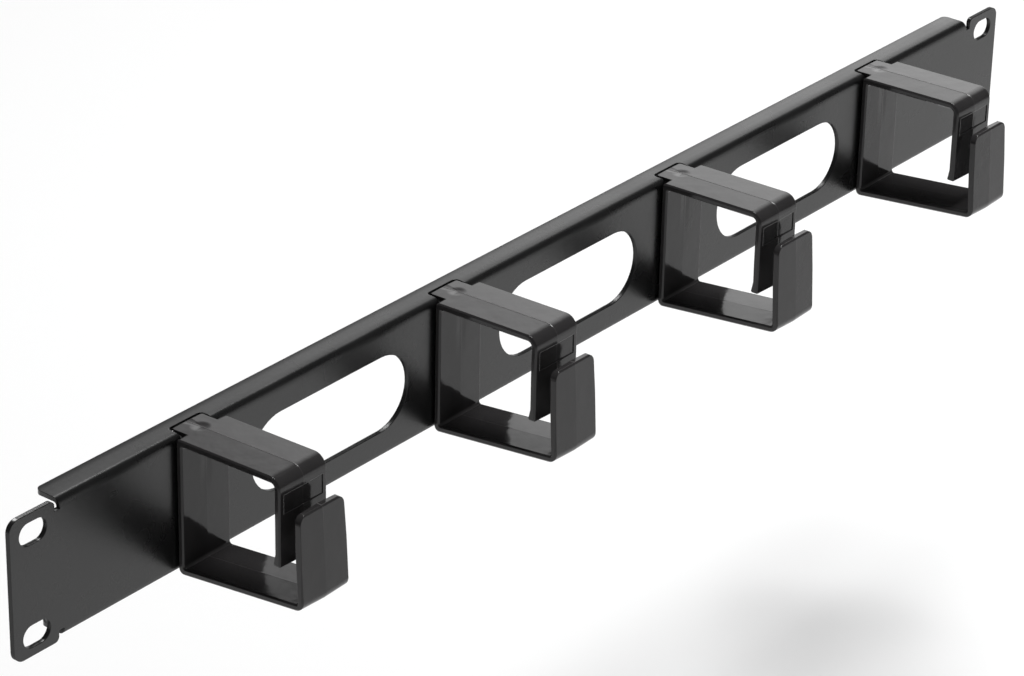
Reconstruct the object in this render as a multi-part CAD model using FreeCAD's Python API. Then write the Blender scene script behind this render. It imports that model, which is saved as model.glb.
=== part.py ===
import FreeCAD, Part
import math
import os

# A 1U rack cable management panel: one folded steel panel with four moulded plastic cable rings.
# Frame: X runs along the panel, -Y is the front where the cables go, +Z is up.
# The origin is the middle of the panel's front face.

# Panel sheet and outline
sheet = 1.5                 # thickness of the steel
panel_width = 482.6         # across both rack ears, a 19 inch panel
ear_height = 44.0           # one rack unit less its gap
ear_width = 17.0            # from the ear's outer edge to the relief slit
ear_corner = 3.5            # radius of the ears' outer corners
ear_inner_corner = 1.6      # radius of the ears' corners beside the slits
slit_width = 2.15           # relief slit between ear and flange
slit_past_bend = 0.3        # how far a slit runs past the end of the bend

# Folded channel between the ears
channel_height = 42.8       # over both flanges
flange_depth = 9.6          # from the front face to the flange's rear edge
bend_radius = 2.5           # outside radius of both bends
flange_corner = 2.0         # radius of the flanges' rear corners

# Rack slots in the ears
slot_inset = 8.75           # from the ear's outer edge to the middle of a slot
slot_spacing_z = 31.75
slot_length = 10.5
slot_height = 7.0

# Oblong pass-through holes between the rings
hole_count = 3
hole_length = 69.0
hole_height = 25.0

# Cable rings
ring_count = 4
ring_inset = 73.75          # from the panel's end to the middle of the first ring
ring_width = 19.6
ring_wall = 2.5             # wall at the parting line
draft_angle = 1.2           # draft of each wall face, degrees
ring_seat_gap = 0.05        # between the ring's back wall and the panel's face
ring_over_flange = 0.4      # top of the ring's back wall above the top flange
ring_under_flange = 0.5     # underside of the ring's back wall below the bottom flange
top_arm_rise = 1.0          # how much the top arm climbs towards the front
base_arm_rise = 5.5         # how much the bottom arm climbs towards the front
upper_leg_front = 39.0      # front of the upper leg, in front of the panel's face
lower_leg_front = 47.4      # front of the lower leg at its foot
lower_leg_lean = 1.6        # how far the lower leg leans back at its top
lower_leg_top = 13.2        # height of the lower leg's top edge
upper_leg_end = -5.4        # height of the upper leg's lower end
leg_lip = 0.7               # lip on the upper leg's end, towards the panel
lip_height = 3.5            # height over which the lip runs out into the leg
arm_round = 4.0             # outside radius between the top arm and the upper leg
seat_round = 1.6            # outside radius of the back wall's two corners
inner_round = 0.9           # inside radius of the other corners
lip_blend = 3.0             # radius that blends the lip into the upper leg
edge_round = 0.45           # rounding along both sides of the moulding
tip_round = 0.5             # radius of the upper leg's end
tip_bevel = 0.45            # bevel along the lower leg's top edge
lower_leg_taper = 0.9       # how much narrower the lower leg is at its top, on each side
leg_corner = 3.0            # radius of the lower leg's top corners

# Shallow recess on the front of the upper leg
recess_depth = 0.4
recess_margin = 1.8         # from the recess to each side of the leg
recess_height = 6.0
recess_below_round = 1.6    # from the end of the corner's rounding down to the recess

# Hooks that hold the ring in the panel's notches
tongue_width = 12.0
tongue_drop = 0.02          # from the ring's outer face to the tongue's outer face, at the parting line
tongue_thickness = 2.4
tongue_reach = 5.1          # how far a tongue reaches behind the panel's front face
hook_length = 2.2           # how far a hook reaches past the notch's edge, behind the sheet
hook_gap = 0.25             # between a hook and the sheet's back face
tongue_bevel = 0.5          # bevel of a tongue's rear corners, seen from the side
tongue_corner = 1.3         # radius of a tongue's rear corners, seen from above
notch_gap_side = 0.8        # between a tongue's side and the notch
notch_gap_rear = 0.7        # between a tongue's tip and the notch's rear edge
notch_gap_under = 0.25      # between a tongue's underside and the notch's edge in the face
notch_corner = 1.4          # radius of the notch's rear corners
scoop_radius = 14.0         # the round valley that hollows the top tongue's face
scoop_depth = 0.3           # of the valley at the tongue's rear edge
scoop_start = -0.4          # where the valley runs out, from the panel's face

# How far a cutter starts outside what it cuts, and how close two places are to count as one
overshoot = 1.0
same_place = 1e-6

channel_half = channel_height / 2
bend_inside = bend_radius - sheet
bend_start = channel_half - bend_radius
ring_top = channel_half + ring_over_flange
ring_base = -channel_half - ring_under_flange
foot_round = ring_wall + inner_round
throat_middle = -(upper_leg_front + lower_leg_front - lower_leg_lean - ring_wall) / 2
draft = math.tan(math.radians(draft_angle))
rise_top = top_arm_rise / upper_leg_front
rise_base = base_arm_rise / lower_leg_front
slot_spacing_x = panel_width - 2 * slot_inset
ring_pitch = (panel_width - 2 * ring_inset) / (ring_count - 1)
ring_places = [(i - (ring_count - 1) / 2) * ring_pitch for i in range(ring_count)]
hole_places = [(i - (hole_count - 1) / 2) * ring_pitch for i in range(hole_count)]
notch_width = tongue_width + 2 * notch_gap_side
notch_rear = tongue_reach + notch_gap_rear
top_tongue_face = ring_top - tongue_drop
base_tongue_face = ring_base + tongue_drop
notch_edge_top = top_tongue_face - tongue_thickness - notch_gap_under
notch_edge_base = base_tongue_face + tongue_thickness + notch_gap_under


def vec(x, y, z):
    return FreeCAD.Vector(x, y, z)


def box(x0, x1, y0, y1, z0, z1):
    return Part.makeBox(x1 - x0, y1 - y0, z1 - z0, vec(x0, y0, z0))


def rounded_outline(points, radii):
    """A closed wire through the points, with an arc of the given radius at each corner; 0 keeps it sharp."""
    count = len(points)
    starts, middles, ends = [], [], []
    for i, corner in enumerate(points):
        before = (points[i - 1] - corner).normalize()
        after = (points[(i + 1) % count] - corner).normalize()
        half = before.getAngle(after) / 2
        radius = radii[i]
        reach = radius / math.tan(half)
        bisector = (before + after).normalize()
        starts.append(corner + before * reach)
        ends.append(corner + after * reach)
        middles.append(corner + bisector * (radius / math.sin(half) - radius))
    edges = []
    for i in range(count):
        if radii[i] > 0:
            edges.append(Part.Arc(starts[i], middles[i], ends[i]).toShape())
        edges.append(Part.LineSegment(ends[i], starts[(i + 1) % count]).toShape())
    return Part.Wire(edges)


def stadium_cutter(x, z, length, height):
    """An oblong hole with round ends, cut through the panel's face."""
    radius = height / 2
    flat = length / 2 - radius

    def at(dx, dz):
        return vec(x + dx, -overshoot, z + dz)

    edges = [
        Part.LineSegment(at(-flat, radius), at(flat, radius)).toShape(),
        Part.Arc(at(flat, radius), at(flat + radius, 0), at(flat, -radius)).toShape(),
        Part.LineSegment(at(flat, -radius), at(-flat, -radius)).toShape(),
        Part.Arc(at(-flat, -radius), at(-flat - radius, 0), at(-flat, radius)).toShape(),
    ]
    return Part.Face(Part.Wire(edges)).extrude(vec(0, sheet + 2 * overshoot, 0))


def channel():
    """The folded part between the ears: a C section run along X."""
    rear = flange_depth
    low, high = -channel_half, channel_half
    flange_end = panel_width / 2 - ear_width - slit_width

    def at(y, z):
        return vec(-flange_end, y, z)

    def bend(centre_z, side, radius):
        centre = at(bend_radius, centre_z)
        diagonal = radius * math.sqrt(0.5)
        return centre + vec(0, -diagonal, side * diagonal)

    top_centre = high - bend_radius
    low_centre = low + bend_radius
    edges = [
        Part.LineSegment(at(rear, low), at(bend_radius, low)).toShape(),
        Part.Arc(at(bend_radius, low), bend(low_centre, -1, bend_radius), at(0, low_centre)).toShape(),
        Part.LineSegment(at(0, low_centre), at(0, top_centre)).toShape(),
        Part.Arc(at(0, top_centre), bend(top_centre, 1, bend_radius), at(bend_radius, high)).toShape(),
        Part.LineSegment(at(bend_radius, high), at(rear, high)).toShape(),
        Part.LineSegment(at(rear, high), at(rear, high - sheet)).toShape(),
        Part.LineSegment(at(rear, high - sheet), at(bend_radius, high - sheet)).toShape(),
        Part.Arc(at(bend_radius, high - sheet), bend(top_centre, 1, bend_inside),
                 at(sheet, top_centre)).toShape(),
        Part.LineSegment(at(sheet, top_centre), at(sheet, low_centre)).toShape(),
        Part.Arc(at(sheet, low_centre), bend(low_centre, -1, bend_inside),
                 at(bend_radius, low + sheet)).toShape(),
        Part.LineSegment(at(bend_radius, low + sheet), at(rear, low + sheet)).toShape(),
        Part.LineSegment(at(rear, low + sheet), at(rear, low)).toShape(),
    ]
    folded = Part.Face(Part.Wire(edges)).extrude(vec(2 * flange_end, 0, 0))
    rear_corners = [e for e in folded.Edges
                    if abs(e.CenterOfMass.y - rear) < same_place
                    and abs(abs(e.CenterOfMass.x) - flange_end) < same_place]
    return folded.makeFillet(flange_corner, rear_corners)


def ear(side):
    """One flat rack ear with its rounded corners and two oblong slots, joined to the web."""
    outer = side * panel_width / 2
    inner = side * (panel_width / 2 - ear_width)
    half = ear_height / 2
    points = [vec(outer, 0, -half), vec(outer, 0, half), vec(inner, 0, half), vec(inner, 0, -half)]
    radii = [ear_corner, ear_corner, ear_inner_corner, ear_inner_corner]
    return Part.Face(rounded_outline(points, radii)).extrude(vec(0, sheet, 0))


def bridge(side):
    """The strip of web between the two slits that joins an ear to the channel."""
    inner = panel_width / 2 - ear_width
    height = bend_start - slit_past_bend
    strip = box(inner - slit_width, inner, 0, sheet, -height, height)
    if side < 0:
        strip = strip.mirror(vec(0, 0, 0), vec(1, 0, 0))
    return strip


def slit_cutter(side, up):
    """The part of a relief slit that runs past the bend, into the channel's end and the ear."""
    inner = panel_width / 2 - ear_width
    radius = slit_width / 2
    bottom = bend_start - slit_past_bend
    x = side * (inner - radius)
    start, depth = -overshoot, sheet + 2 * overshoot
    round_end = Part.makeCylinder(radius, depth, vec(x, start, up * (bottom + radius)), vec(0, 1, 0))
    low, high = sorted((up * (bottom + radius), up * ear_height))
    return round_end.fuse(box(x - radius, x + radius, start, start + depth, low, high))


def notch_cutter(x, up):
    """The notch for a ring's tongue, through the bend and the front part of a flange."""
    edge = notch_edge_top if up > 0 else notch_edge_base
    half = notch_width / 2
    points = [vec(x - half, -overshoot, 0), vec(x + half, -overshoot, 0),
              vec(x + half, notch_rear, 0), vec(x - half, notch_rear, 0)]
    flat = Part.Face(rounded_outline(points, [0, 0, notch_corner, notch_corner]))
    flat.translate(vec(0, 0, edge))
    return flat.extrude(vec(0, 0, up * ear_height))


def panel():
    body = channel()
    for side in (-1, 1):
        body = body.fuse(ear(side)).fuse(bridge(side))
    body = body.removeSplitter()
    cutters = [slit_cutter(side, up) for side in (-1, 1) for up in (-1, 1)]
    cutters += [notch_cutter(x, up) for x in ring_places for up in (-1, 1)]
    cutters += [stadium_cutter(x, 0, hole_length, hole_height) for x in hole_places]
    cutters += [stadium_cutter(sx * slot_spacing_x / 2, sz * slot_spacing_z / 2, slot_length, slot_height)
                for sx in (-1, 1) for sz in (-1, 1)]
    return body.cut(cutters).removeSplitter()


def ring_profile(x, inset):
    """The ring's outline in a plane across its width: one open band, thinner by the inset on each face."""
    wall = ring_wall - 2 * inset
    back = -ring_seat_gap
    top, base = ring_top - inset, ring_base + inset
    arm_front = -upper_leg_front + inset
    foot_front = -lower_leg_front + inset
    lean = lower_leg_lean / (lower_leg_top - ring_base - base_arm_rise)
    leg_end = upper_leg_end + inset
    leg_top = lower_leg_top - inset

    def top_at(y, drop):
        return top + rise_top * -y - drop

    def base_at(y, lift):
        return base + rise_base * -y + lift

    def leg_at(z, depth):
        return foot_front + lean * (z - ring_base - base_arm_rise) + depth

    inner_back = back - inset - wall
    inner_arm = arm_front + wall
    foot_z = base_at(foot_front, 0)
    floor_z = base_at(foot_front + wall, wall)
    corners = [
        (back - inset, top_at(back, 0), seat_round),
        (arm_front, top_at(arm_front, 0), arm_round),
        (arm_front, leg_end, tip_round),
        (inner_arm + leg_lip, leg_end, tip_round),
        (inner_arm, leg_end + lip_height, lip_blend),
        (inner_arm, top_at(inner_arm, wall), arm_round - ring_wall),
        (inner_back, top_at(inner_back, wall), inner_round),
        (inner_back, base_at(inner_back, wall), inner_round),
        (leg_at(floor_z, wall), floor_z, inner_round),
        (leg_at(leg_top - tip_bevel, wall), leg_top - tip_bevel, 0),
        (leg_at(leg_top, wall - tip_bevel), leg_top, 0),
        (leg_at(leg_top, tip_bevel), leg_top, 0),
        (leg_at(leg_top - tip_bevel, 0), leg_top - tip_bevel, 0),
        (foot_front, foot_z, foot_round),
        (back - inset, base_at(back, 0), seat_round),
    ]
    return rounded_outline([vec(x, y, z) for y, z, _ in corners], [r for _, _, r in corners])


def ring_band():
    """The ring's wall, drafted both ways from the parting line at mid width, with eased sides."""
    half = ring_width / 2
    sections = [(-half, draft * half + edge_round), (-half + edge_round, draft * half), (0, 0),
                (half - edge_round, draft * half), (half, draft * half + edge_round)]
    return Part.makeLoft([ring_profile(x, inset) for x, inset in sections], True, True)


def leg_cutter():
    """What is cut away to taper the lower leg and round its top corners, seen from the front."""
    half = ring_width / 2
    front, rear = -lower_leg_front - overshoot, throat_middle
    foot = ring_base + base_arm_rise + foot_round
    top_half = half - lower_leg_taper
    points = [vec(-half, front, foot), vec(half, front, foot),
              vec(top_half, front, lower_leg_top), vec(-top_half, front, lower_leg_top)]
    leg = Part.Face(rounded_outline(points, [0, 0, leg_corner, leg_corner])).extrude(vec(0, rear - front, 0))
    return box(-half - overshoot, half + overshoot, front, rear, foot, lower_leg_top + overshoot).cut(leg)


def recess_cutter():
    """The shallow rectangular recess on the front of the upper leg."""
    half = ring_width / 2 - recess_margin
    top = ring_top + top_arm_rise - arm_round - recess_below_round
    front = -upper_leg_front
    return box(-half, half, front - overshoot, front + recess_depth, top - recess_height, top)


def tongue_profile(x, face_z, rise, up):
    """The outline of a tongue and its hook across the ring's width, its outer face in line with the arm's."""
    root = -ring_seat_gap - seat_round
    outer = face_z - up * draft * abs(x)
    under = face_z - up * tongue_thickness
    hook_front = sheet + hook_gap
    hook_end = under - up * hook_length
    rear_face = outer - rise * tongue_reach
    bevel_front = tongue_reach - tongue_bevel
    points = [vec(x, root, outer - rise * root), vec(x, bevel_front, rear_face),
              vec(x, tongue_reach, rear_face - up * tongue_bevel),
              vec(x, tongue_reach, hook_end + up * tongue_bevel), vec(x, bevel_front, hook_end),
              vec(x, hook_front, hook_end), vec(x, hook_front, under), vec(x, root, under)]
    return Part.makePolygon(points + points[:1])


def tongue(face_z, rise, up):
    """A tongue that reaches through a notch and hooks behind the panel's sheet."""
    half = tongue_width / 2
    solid = Part.makeLoft([tongue_profile(x, face_z, rise, up) for x in (-half, 0, half)], True, True)
    bounds = solid.BoundBox
    front, low = bounds.YMin - overshoot, bounds.ZMin - overshoot
    plan = [vec(-half, front, low), vec(half, front, low),
            vec(half, tongue_reach, low), vec(-half, tongue_reach, low)]
    plan_wire = rounded_outline(plan, [0, 0, tongue_corner, tongue_corner])
    return solid.common(Part.Face(plan_wire).extrude(vec(0, 0, bounds.ZLength + 2 * overshoot)))


def scoop_cutter():
    """A round valley down the middle of the top tongue, deeper towards its rear edge."""
    run = tongue_reach - scoop_start
    start = vec(0, scoop_start, top_tongue_face + scoop_radius)
    return Part.makeCylinder(scoop_radius, run + scoop_radius, start, vec(0, run, -scoop_depth))


def cable_ring():
    body = ring_band().cut([leg_cutter(), recess_cutter()])
    body = body.fuse(tongue(top_tongue_face, rise_top, 1).cut(scoop_cutter()))
    body = body.fuse(tongue(base_tongue_face, 0, -1))
    return body.removeSplitter()


def write(shape, name):
    solid = shape.Solids[0]
    print(name, len(shape.Solids), "solid", round(solid.Volume, 1), "mm3, valid", solid.isValid())
    solid.exportStep(os.path.join("parts", name + ".step"))


os.makedirs("parts", exist_ok=True)
write(panel(), "panel")
ring = cable_ring()
for number, place in enumerate(ring_places, start=1):
    placed = ring.copy()
    placed.translate(vec(place, 0, 0))
    write(placed, "cable_ring_%d" % number)
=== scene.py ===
import bpy
import math
from mathutils import Matrix, Vector


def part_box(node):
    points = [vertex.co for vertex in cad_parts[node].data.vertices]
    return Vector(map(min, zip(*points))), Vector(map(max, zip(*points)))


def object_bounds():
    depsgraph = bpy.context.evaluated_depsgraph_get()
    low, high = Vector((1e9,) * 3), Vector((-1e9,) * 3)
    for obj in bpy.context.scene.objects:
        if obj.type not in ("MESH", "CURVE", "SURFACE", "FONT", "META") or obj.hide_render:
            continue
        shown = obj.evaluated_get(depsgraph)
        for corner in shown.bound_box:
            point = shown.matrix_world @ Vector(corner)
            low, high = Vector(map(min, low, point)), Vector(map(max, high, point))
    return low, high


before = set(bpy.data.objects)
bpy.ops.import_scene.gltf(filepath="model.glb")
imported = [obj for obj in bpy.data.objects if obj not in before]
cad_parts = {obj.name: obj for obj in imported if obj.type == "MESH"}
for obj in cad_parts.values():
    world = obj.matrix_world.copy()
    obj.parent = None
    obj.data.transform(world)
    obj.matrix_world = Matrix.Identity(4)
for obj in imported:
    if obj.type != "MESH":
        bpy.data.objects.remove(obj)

# The scene dresses a rack cable management panel: powder coated steel with four moulded plastic rings.
# Lengths are in metres and angles in degrees. In the part's frame X runs along the panel, -Y is its front
# and +Z is up.

CAD_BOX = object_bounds()
RINGS = sorted(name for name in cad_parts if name.startswith("cable_ring"))

# Camera: fitted to the photo's viewing angle and framing
CAMERA_AZIMUTH = -51.62
CAMERA_ELEVATION = 27.15
CAMERA_ROLL = 1.26
CAMERA_DISTANCE = 1.2245
CAMERA_SIDE = -0.0175       # of the point it looks at, to the right of the part's origin
CAMERA_RISE = -0.01435      # of the same point, upwards in the picture
FOCAL_PIXELS = 3946.3       # focal length for a picture IMAGE_WIDTH wide
IMAGE_WIDTH = 1024
SENSOR_WIDTH = 36.0         # in millimetres
CLIP_NEAR, CLIP_FAR = 0.05, 100

# Floor
FLOOR_DROP = 0.16           # from the panel's underside down to the floor
FLOOR_SIZE = 14.0
FLOOR_COLOUR = (0.94, 0.94, 0.94, 1)
FLOOR_ROUGHNESS = 0.9
FLOOR_SPECULAR = 0.1

# Light: a dim studio with one soft round glow, and a lamp high above the panel's right half
SKY_COLOUR = (1, 1, 1, 1)
SKY_STRENGTH = 0.15
GLOW_AZIMUTH = 69           # from +Y towards +X
GLOW_ELEVATION = 22
GLOW_RADIUS = 31
GLOW_STRENGTH = 1.92
LAMP_PLACE = (0.6, 0.0, 2.2)
LAMP_TARGET = (0.45, -0.1, 0)
LAMP_SIZE = (0.9, 0.9)
LAMP_POWER = 53.5           # in watts

# Noise textures as scale in features per metre, detail and roughness
COAT_CLOUD = (55, 3, 0.5)
COAT_GRAIN = (2600, 2, 0.6)
COAT_PEEL = (620, 2, 0.4)
PLASTIC_FLOW = (90, 3, 0.5)
PLASTIC_WAVE = (170, 2, 0.45)
PLASTIC_GRAIN = (3200, 2, 0.6)
FLOW_STRETCH = (1, 0.35, 0.35)
NOISE_LOW, NOISE_HIGH = 0.3, 0.7    # the part of a noise's range that is put to use

# Bumps as distance and strength
ROLL_BUMP = (0.001, 1.0)
PEEL_BUMP = (0.00006, 0.35)
COAT_GRAIN_BUMP = (0.00003, 0.7)
WAVE_BUMP = (0.00015, 0.6)
SINK_BUMP = (-0.00035, 1.0)
LINE_BUMP = (0.0001, 1.0)
PLASTIC_GRAIN_BUMP = (0.00001, 0.25)

# Both finishes: the soft turn over sharp edges
EDGE_EASE = 0.0003          # radius of the turn
EDGE_SAMPLES = 8

# Powder coat
COAT_DARK = (0.003, 0.003, 0.0031, 1)
COAT_LIGHT = (0.0048, 0.0048, 0.005, 1)
COAT_ROUGHNESS = (0.25, 0.31)
COAT_SPECULAR = 0.56
# Soft rolls across the folded edges: where each starts and ends in Y, and its drop in millimetres
ROLLS = ((0.0052, 0.0, 1.5), (0.0066, 0.0096, 0.35))

# Ring plastic
PLASTIC_DARK = (0.023, 0.0218, 0.0223, 1)
PLASTIC_LIGHT = (0.0295, 0.028, 0.0287, 1)
PLASTIC_ROUGHNESS = (0.085, 0.13)
PLASTIC_SPECULAR = 0.34
UPPER_HALF = (0.0, 0.01)    # heights over which a mark of a ring's upper half comes in
# Parting line round each ring: a fine raised ridge whose lighter colour is a painted highlight, strongest on
# up-facing surfaces
LINE_HIGHLIGHT_COLOUR = (0.12, 0.114, 0.116, 1)
LINE_HALF_WIDTH = 0.00022
LINE_HIGHLIGHT_UPWARD = (0.8, 0.98)   # upward part of the normal over which the line comes to its full strength
LINE_AND_HIGHLIGHT_ELSEWHERE = 0.15       # its strength away from up-facing surfaces, and again on the lower half
# Round sink at the root of each ring's top tongue
SINK_PLACE = -0.0006        # Y of its middle
SINK_RADIUS = 0.0032


def node_tree(name):
    """A new material, its node tree and its one shader."""
    material = bpy.data.materials.new(name)
    material.use_nodes = True
    tree = material.node_tree
    tree.nodes.clear()
    output = tree.nodes.new("ShaderNodeOutputMaterial")
    shader = tree.nodes.new("ShaderNodeBsdfPrincipled")
    tree.links.new(shader.outputs["BSDF"], output.inputs["Surface"])
    return material, tree, shader


def noise(tree, scale, detail, roughness, stretch=(1, 1, 1)):
    """A noise texture in object space."""
    place = tree.nodes.new("ShaderNodeTexCoord")
    mapping = tree.nodes.new("ShaderNodeMapping")
    mapping.inputs["Scale"].default_value = stretch
    texture = tree.nodes.new("ShaderNodeTexNoise")
    texture.inputs["Scale"].default_value = scale
    texture.inputs["Detail"].default_value = detail
    texture.inputs["Roughness"].default_value = roughness
    tree.links.new(place.outputs["Object"], mapping.inputs["Vector"])
    tree.links.new(mapping.outputs["Vector"], texture.inputs["Vector"])
    return texture.outputs["Fac"]


def place_axes(tree):
    """Sockets for the X, Y and Z of a point, in the part's frame."""
    place = tree.nodes.new("ShaderNodeTexCoord")
    split = tree.nodes.new("ShaderNodeSeparateXYZ")
    tree.links.new(place.outputs["Object"], split.inputs["Vector"])
    return split.outputs["X"], split.outputs["Y"], split.outputs["Z"]


def noise_colour(tree, source, dark, light):
    """A colour between dark and light that follows a noise."""
    node = tree.nodes.new("ShaderNodeValToRGB")
    for element, position, colour in zip(node.color_ramp.elements, (NOISE_LOW, NOISE_HIGH), (dark, light)):
        element.position = position
        element.color = colour
    tree.links.new(source, node.inputs["Fac"])
    return node.outputs["Color"]


def rise(tree, source, start, end, low=0.0, high=1.0, smooth=False):
    """low where source is at start or before, high where it is at end or past it."""
    node = tree.nodes.new("ShaderNodeMapRange")
    if smooth:
        node.interpolation_type = "SMOOTHSTEP"
    node.inputs["From Min"].default_value = start
    node.inputs["From Max"].default_value = end
    node.inputs["To Min"].default_value = low
    node.inputs["To Max"].default_value = high
    tree.links.new(source, node.inputs["Value"])
    return node.outputs["Result"]


def math_node(tree, operation, first, second=None):
    """One math step; first and second are sockets or plain numbers."""
    node = tree.nodes.new("ShaderNodeMath")
    node.operation = operation
    for socket, value in zip(node.inputs, (first, second)):
        if isinstance(value, (int, float)):
            socket.default_value = value
        elif value is not None:
            tree.links.new(value, socket)
    return node.outputs["Value"]


def bump(tree, height, distance, strength, below):
    """A bump on top of the normal below."""
    node = tree.nodes.new("ShaderNodeBump")
    node.inputs["Distance"].default_value = distance
    node.inputs["Strength"].default_value = strength
    tree.links.new(height, node.inputs["Height"])
    tree.links.new(below, node.inputs["Normal"])
    return node.outputs["Normal"]


def eased_edges(tree):
    """The surface's normal, turned softly round sharp edges as paint or a mould leaves them."""
    node = tree.nodes.new("ShaderNodeBevel")
    node.samples = EDGE_SAMPLES
    node.inputs["Radius"].default_value = EDGE_EASE
    return node.outputs["Normal"]


def fold_roll(tree):
    """Height of the soft roll across the panel's folded edges: down to the bend and over the rear border."""
    _, depth_place, _ = place_axes(tree)
    height = 0.0
    for start, end, drop in ROLLS:
        part = rise(tree, depth_place, start, end)
        squared = math_node(tree, "MULTIPLY", part, part)
        height = math_node(tree, "SUBTRACT", height, math_node(tree, "MULTIPLY", squared, drop))
    return height


def powder_coat():
    """Satin black powder coat: soft orange peel, fine grain, a slightly uneven sheen."""
    material, tree, shader = node_tree("powder_coat_black")
    cloud = noise(tree, *COAT_CLOUD)
    grain = noise(tree, *COAT_GRAIN)
    peel = noise(tree, *COAT_PEEL)
    tree.links.new(noise_colour(tree, cloud, COAT_DARK, COAT_LIGHT), shader.inputs["Base Color"])
    tree.links.new(rise(tree, cloud, NOISE_LOW, NOISE_HIGH, *COAT_ROUGHNESS), shader.inputs["Roughness"])
    rolled = bump(tree, fold_roll(tree), *ROLL_BUMP, eased_edges(tree))
    soft = bump(tree, peel, *PEEL_BUMP, rolled)
    tree.links.new(bump(tree, grain, *COAT_GRAIN_BUMP, soft), shader.inputs["Normal"])
    shader.inputs["Specular IOR Level"].default_value = COAT_SPECULAR
    return material


def ring_places(tree):
    """Sockets for a point on any ring: its distance from the ring's mid width in X, and its Y and Z."""
    centres = [(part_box(ring)[0].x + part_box(ring)[1].x) / 2 for ring in RINGS]
    pitch = (centres[-1] - centres[0]) / (len(centres) - 1)
    along, depth_place, height = place_axes(tree)
    step = math_node(tree, "DIVIDE", math_node(tree, "SUBTRACT", along, centres[0] - pitch / 2), pitch)
    middle = math_node(tree, "SUBTRACT", math_node(tree, "FRACT", step), 0.5)
    distance = math_node(tree, "MULTIPLY", math_node(tree, "ABSOLUTE", middle), pitch)
    return distance, depth_place, height


def parting_line_and_highlight(tree, distance, height):
    """1 on the fine line that runs round each ring at mid width, strongest on top of the upper arm; its
    lighter colour there is a painted highlight.
    """
    line_and_highlight = rise(tree, distance, LINE_HALF_WIDTH, 0.0)
    surface = tree.nodes.new("ShaderNodeNewGeometry")
    facing = tree.nodes.new("ShaderNodeSeparateXYZ")
    tree.links.new(surface.outputs["True Normal"], facing.inputs["Vector"])
    highlight_by_facing = rise(tree, facing.outputs["Z"], *LINE_HIGHLIGHT_UPWARD, LINE_AND_HIGHLIGHT_ELSEWHERE)
    on_top = rise(tree, height, *UPPER_HALF, LINE_AND_HIGHLIGHT_ELSEWHERE)
    return math_node(tree, "MULTIPLY", line_and_highlight, math_node(tree, "MULTIPLY", highlight_by_facing, on_top))


def sink_mark(tree, distance, depth_place, height):
    """1 in the middle of the small round sink at the root of each ring's top tongue."""
    back = math_node(tree, "SUBTRACT", depth_place, SINK_PLACE)
    square = math_node(tree, "ADD", math_node(tree, "MULTIPLY", distance, distance),
                       math_node(tree, "MULTIPLY", back, back))
    sink = rise(tree, math_node(tree, "SQRT", square), SINK_RADIUS, 0.0, smooth=True)
    return math_node(tree, "MULTIPLY", sink, rise(tree, height, *UPPER_HALF))


def blend(tree, factor, under, over):
    """The colour under, turning to the plain colour over as the factor goes to 1."""
    node = tree.nodes.new("ShaderNodeMix")
    node.data_type = "RGBA"
    tree.links.new(factor, node.inputs["Factor"])
    tree.links.new(under, node.inputs["A"])
    node.inputs["B"].default_value = over
    return node.outputs["Result"]


def ring_plastic():
    """Glossy black moulded plastic: faint flow clouding, a fine tool texture, the parting line with a painted
    highlight on its ridge, and a sink.
    """
    material, tree, shader = node_tree("ring_plastic_black")
    flow = noise(tree, *PLASTIC_FLOW, FLOW_STRETCH)
    grain = noise(tree, *PLASTIC_GRAIN)
    wave = noise(tree, *PLASTIC_WAVE)
    distance, depth_place, height = ring_places(tree)
    line_and_highlight = parting_line_and_highlight(tree, distance, height)
    sink = sink_mark(tree, distance, depth_place, height)
    body = noise_colour(tree, flow, PLASTIC_DARK, PLASTIC_LIGHT)
    # The parting line is painted lighter where it faces up: a painted highlight on its ridge.
    tree.links.new(blend(tree, line_and_highlight, body, LINE_HIGHLIGHT_COLOUR), shader.inputs["Base Color"])
    tree.links.new(rise(tree, flow, NOISE_LOW, NOISE_HIGH, *PLASTIC_ROUGHNESS), shader.inputs["Roughness"])
    soft = bump(tree, wave, *WAVE_BUMP, eased_edges(tree))
    sunk = bump(tree, sink, *SINK_BUMP, soft)
    raised = bump(tree, line_and_highlight, *LINE_BUMP, sunk)
    tree.links.new(bump(tree, grain, *PLASTIC_GRAIN_BUMP, raised), shader.inputs["Normal"])
    shader.inputs["Specular IOR Level"].default_value = PLASTIC_SPECULAR
    return material


def dress(name, material):
    """Gives a CAD node its material."""
    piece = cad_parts[name]
    for slot in piece.material_slots:
        slot.material = material
    if not piece.material_slots:
        piece.data.materials.append(material)


def make_floor():
    """A plain pale matt floor that takes the panel's shadow."""
    material, _, shader = node_tree("floor_pale")
    shader.inputs["Base Color"].default_value = FLOOR_COLOUR
    shader.inputs["Roughness"].default_value = FLOOR_ROUGHNESS
    shader.inputs["Specular IOR Level"].default_value = FLOOR_SPECULAR
    bpy.ops.mesh.primitive_plane_add(size=FLOOR_SIZE, location=(0, 0, CAD_BOX[0].z - FLOOR_DROP))
    floor = bpy.context.object
    floor.name = "floor"
    floor.data.materials.append(material)


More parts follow.
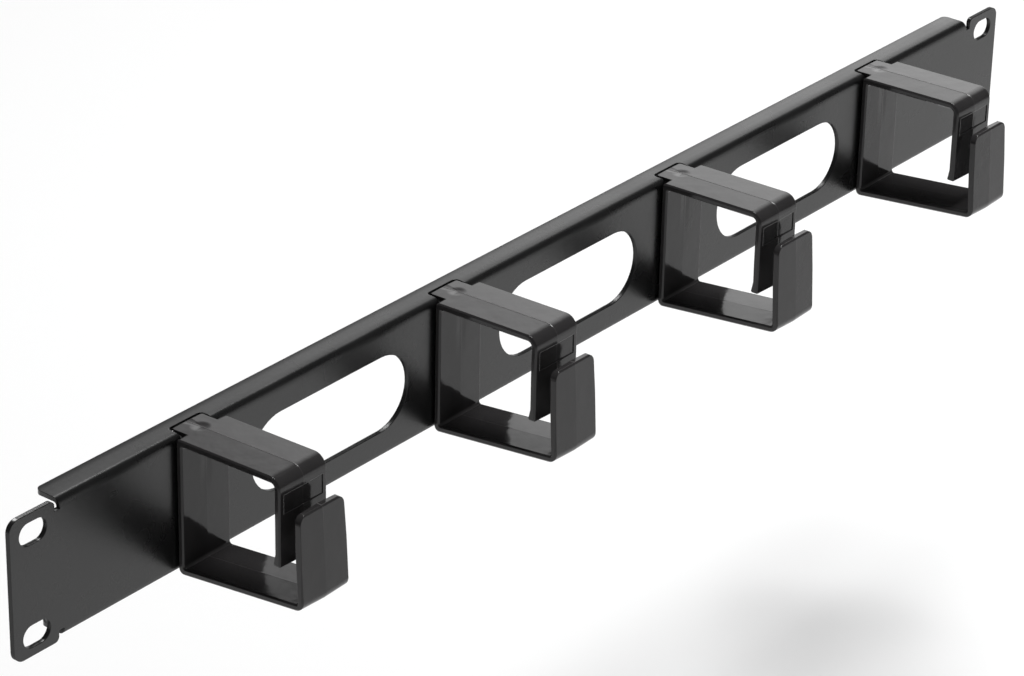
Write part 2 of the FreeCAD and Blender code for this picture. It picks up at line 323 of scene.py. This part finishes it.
def make_world():
    """A dim studio all round, with one soft round glow low behind the panel's far end."""
    world = bpy.data.worlds.new("studio")
    bpy.context.scene.world = world
    world.use_nodes = True
    tree = world.node_tree
    tree.nodes.clear()
    output = tree.nodes.new("ShaderNodeOutputWorld")
    sky = tree.nodes.new("ShaderNodeBackground")
    sky.inputs["Color"].default_value = SKY_COLOUR
    azimuth, elevation = math.radians(GLOW_AZIMUTH), math.radians(GLOW_ELEVATION)
    place = tree.nodes.new("ShaderNodeTexCoord")
    towards = tree.nodes.new("ShaderNodeVectorMath")
    towards.operation = "DOT_PRODUCT"
    towards.inputs[1].default_value = (math.sin(azimuth) * math.cos(elevation),
                                       math.cos(azimuth) * math.cos(elevation), math.sin(elevation))
    tree.links.new(place.outputs["Generated"], towards.inputs[0])
    glow = rise(tree, towards.outputs["Value"], math.cos(math.radians(GLOW_RADIUS)), 1.0,
                high=GLOW_STRENGTH, smooth=True)
    tree.links.new(math_node(tree, "ADD", SKY_STRENGTH, glow), sky.inputs["Strength"])
    tree.links.new(sky.outputs["Background"], output.inputs["Surface"])


def make_lamp():
    """One large soft lamp high above, aimed down at the panel's right half."""
    data = bpy.data.lights.new("key_above", "AREA")
    data.shape = "RECTANGLE"
    data.size, data.size_y = LAMP_SIZE
    data.energy = LAMP_POWER
    lamp = bpy.data.objects.new("key_above", data)
    bpy.context.scene.collection.objects.link(lamp)
    lamp.location = LAMP_PLACE
    lamp.rotation_euler = (Vector(LAMP_TARGET) - Vector(LAMP_PLACE)).to_track_quat("-Z", "Y").to_euler()


def make_camera():
    """The photo's view: looking back and right from the front left, from above."""
    azimuth, elevation = math.radians(CAMERA_AZIMUTH), math.radians(CAMERA_ELEVATION)
    roll = math.radians(CAMERA_ROLL)
    back = Vector((math.sin(azimuth) * math.cos(elevation), -math.cos(azimuth) * math.cos(elevation),
                   math.sin(elevation)))
    right = Vector((math.cos(azimuth), math.sin(azimuth), 0))
    up = back.cross(right)
    target = right * CAMERA_SIDE + up * CAMERA_RISE
    turned_right = right * math.cos(roll) + up * math.sin(roll)
    turned_up = up * math.cos(roll) - right * math.sin(roll)
    data = bpy.data.cameras.new("camera")
    data.sensor_width = SENSOR_WIDTH
    data.lens = FOCAL_PIXELS * SENSOR_WIDTH / IMAGE_WIDTH
    data.clip_start, data.clip_end = CLIP_NEAR, CLIP_FAR
    camera = bpy.data.objects.new("camera", data)
    bpy.context.scene.collection.objects.link(camera)
    axes = Matrix((turned_right, turned_up, back)).transposed()
    camera.matrix_world = Matrix.Translation(target + back * CAMERA_DISTANCE) @ axes.to_4x4()
    bpy.context.scene.camera = camera


dress("panel", powder_coat())
plastic = ring_plastic()
for ring in RINGS:
    dress(ring, plastic)
make_floor()
make_world()
make_lamp()
make_camera()
bpy.context.scene.view_settings.view_transform = "Standard"
